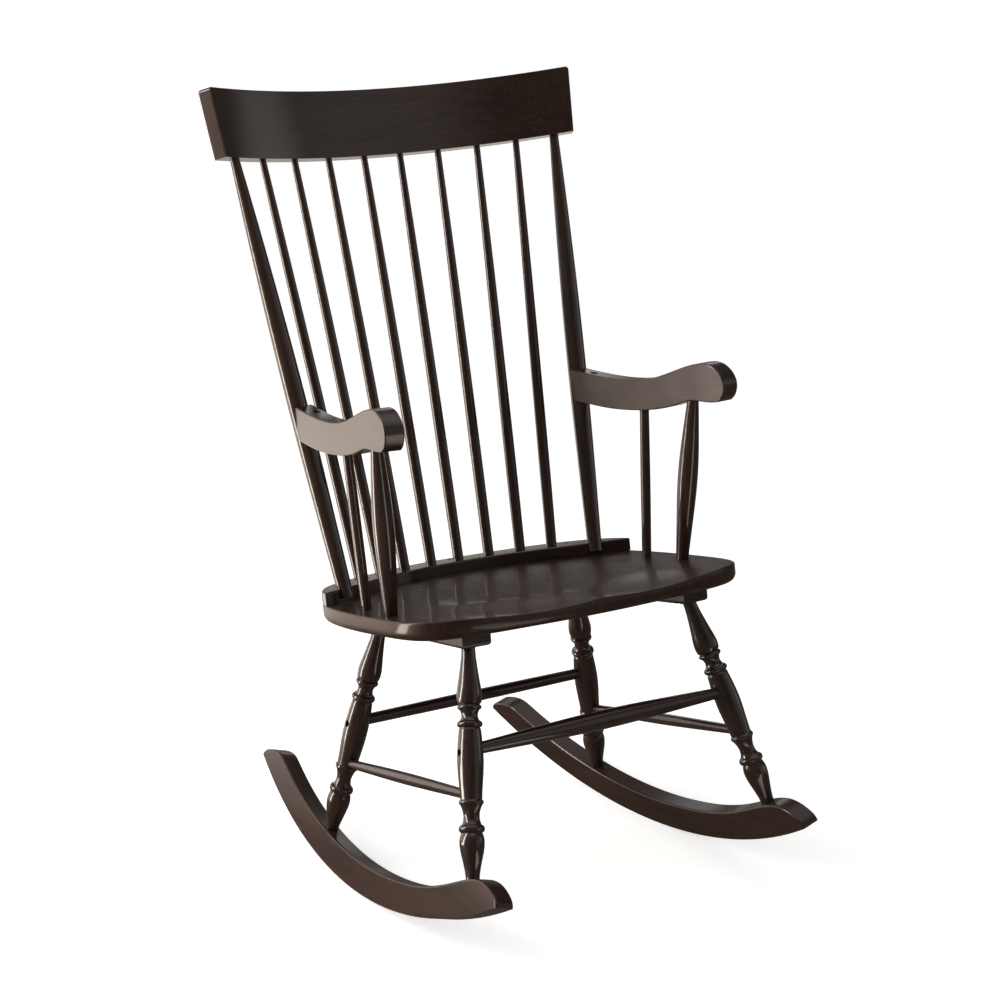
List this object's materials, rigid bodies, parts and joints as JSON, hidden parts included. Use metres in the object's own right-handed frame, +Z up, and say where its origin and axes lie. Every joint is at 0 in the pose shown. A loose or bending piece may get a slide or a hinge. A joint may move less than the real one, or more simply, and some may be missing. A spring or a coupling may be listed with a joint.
{
  "type": "rocking chair",
  "caption": "Wooden rocking chair with turned legs, a saddle seat, a high spindle back, a curved crest rail and shaped arms.",
  "frame": {"origin": "bottom centre of the bounding box, on the floor under the middle of the chair", "axes": "+Z up, -Y the way the sitter faces, +X to the sitter's left hand"},
  "size_m": [0.6296, 0.777, 1.1165],
  "materials": {
    "stained_wood": "gloss lacquer over a dark brown stain",
    "screws": "blackened"
  },
  "bodies": {
    "root": {"arm_left": "stained_wood", "arm_post_left": "stained_wood", "arm_post_right": "stained_wood", "arm_right": "stained_wood", "arm_screws": "screws", "arm_spindle_left": "stained_wood", "arm_spindle_right": "stained_wood", "back_post_left": "stained_wood", "back_post_right": "stained_wood", "back_rail": "stained_wood", "cleat_left": "stained_wood", "cleat_right": "stained_wood", "cleat_screws": "screws", "crest_rail": "stained_wood", "leg_back_left": "stained_wood", "leg_back_right": "stained_wood", "leg_front_left": "stained_wood", "leg_front_right": "stained_wood", "rail_screws": "screws", "rocker_left": "stained_wood", "rocker_right": "stained_wood", "seat": "stained_wood", "spindle_left_1": "stained_wood", "spindle_left_2": "stained_wood", "spindle_left_3": "stained_wood", "spindle_left_4": "stained_wood", "spindle_right_1": "stained_wood", "spindle_right_2": "stained_wood", "spindle_right_3": "stained_wood", "spindle_right_4": "stained_wood", "stretcher_back": "stained_wood", "stretcher_bolts": "screws", "stretcher_front": "stained_wood", "stretcher_left": "stained_wood", "stretcher_right": "stained_wood"}
  },
  "joints": []
}
